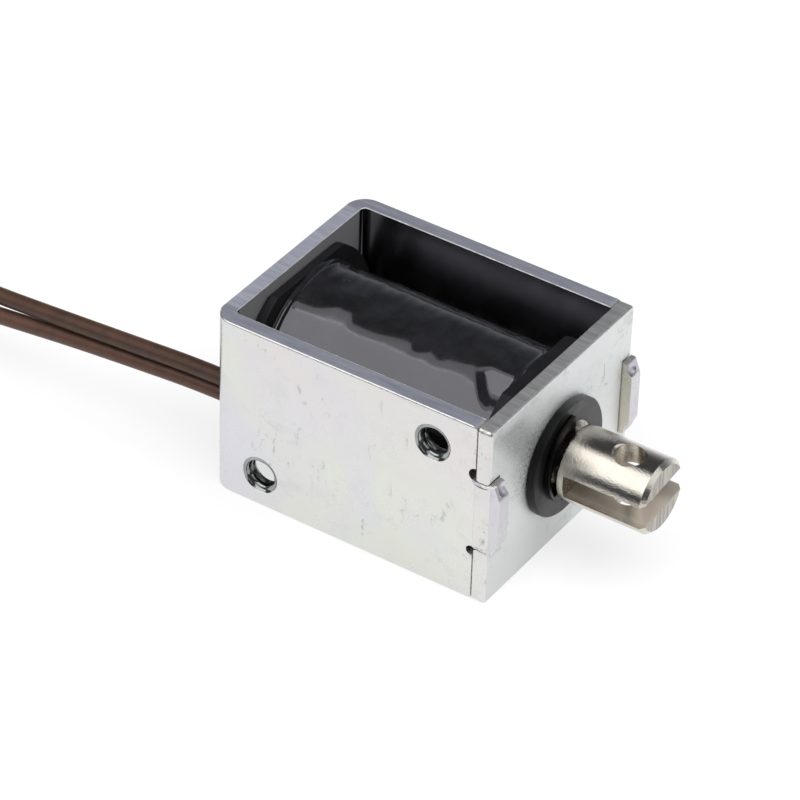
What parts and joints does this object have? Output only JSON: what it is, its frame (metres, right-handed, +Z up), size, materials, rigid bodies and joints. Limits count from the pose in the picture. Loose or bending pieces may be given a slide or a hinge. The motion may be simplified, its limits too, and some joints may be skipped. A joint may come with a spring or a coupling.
{
  "type": "push pull solenoid",
  "caption": "Open-frame push pull solenoid: bent steel yoke with staked front plate, taped coil, forked cross-drilled plunger with clip and washer, rear push pin and leads.",
  "frame": {"origin": "under the middle of the solenoid without its leads, on the surface it lies on", "axes": "+X along the plunger, out of its fork; +Z up, out of the frame's open side; +Y completes the right-handed frame, so the tapped side wall faces -Y"},
  "size_m": [0.1105, 0.0254, 0.0206],
  "materials": {
    "zinc_steel": "zinc-plated sheet steel, satin",
    "core_steel": "turned steel, plated",
    "pin_steel": "stainless steel, ground",
    "nickel_steel": "nickel-plated turned steel, bright satin",
    "washer_rubber": "dark grey damping rubber",
    "clip_black": "black oxide, oiled",
    "sleeve_brass": "drawn thin-wall tube",
    "bobbin_plastic": "black glass-filled nylon, moulded",
    "enamelled_copper": "enamelled copper wire",
    "insulation_film": "thin polyester film",
    "wrap_tape": "black glossy insulating tape",
    "splice_sleeve": "heat-shrink sleeve",
    "lead_jacket_a": "dark brown lead insulation",
    "lead_jacket_b": "reddish brown lead insulation",
    "tinned_strands": "tinned copper strands",
    "tie_band": "thin black tie"
  },
  "bodies": {
    "root": {"yoke": "zinc_steel", "front_plate": "zinc_steel", "fixed_core": "core_steel", "guide_sleeve": "sleeve_brass", "bobbin": "bobbin_plastic", "winding": "enamelled_copper", "layer_insulation": "insulation_film", "coil_wrap": "wrap_tape", "winding_ends": "enamelled_copper", "splice_a": "splice_sleeve", "splice_b": "splice_sleeve", "lead_a": "lead_jacket_a", "lead_b": "lead_jacket_b", "lead_a_coil": "lead_jacket_a", "lead_b_coil": "lead_jacket_b", "lead_a_strands": "tinned_strands", "lead_b_strands": "tinned_strands", "coil_tie": "tie_band"},
    "washer": {"damping_washer": "washer_rubber"},
    "plunger_group": {"plunger": "nickel_steel", "push_pin": "pin_steel", "retaining_clip": "clip_black"}
  },
  "joints": [
    {"name": "plunger_slide", "type": "slide", "parent": "root", "child": "washer", "axis": [1, 0, 0], "range_m": [0, 0.01]},
    {"name": "plunger_spin", "type": "hinge", "parent": "washer", "child": "plunger_group", "pos_m": [0, 0, 0.0103], "axis": [1, 0, 0], "continuous": true}
  ]
}
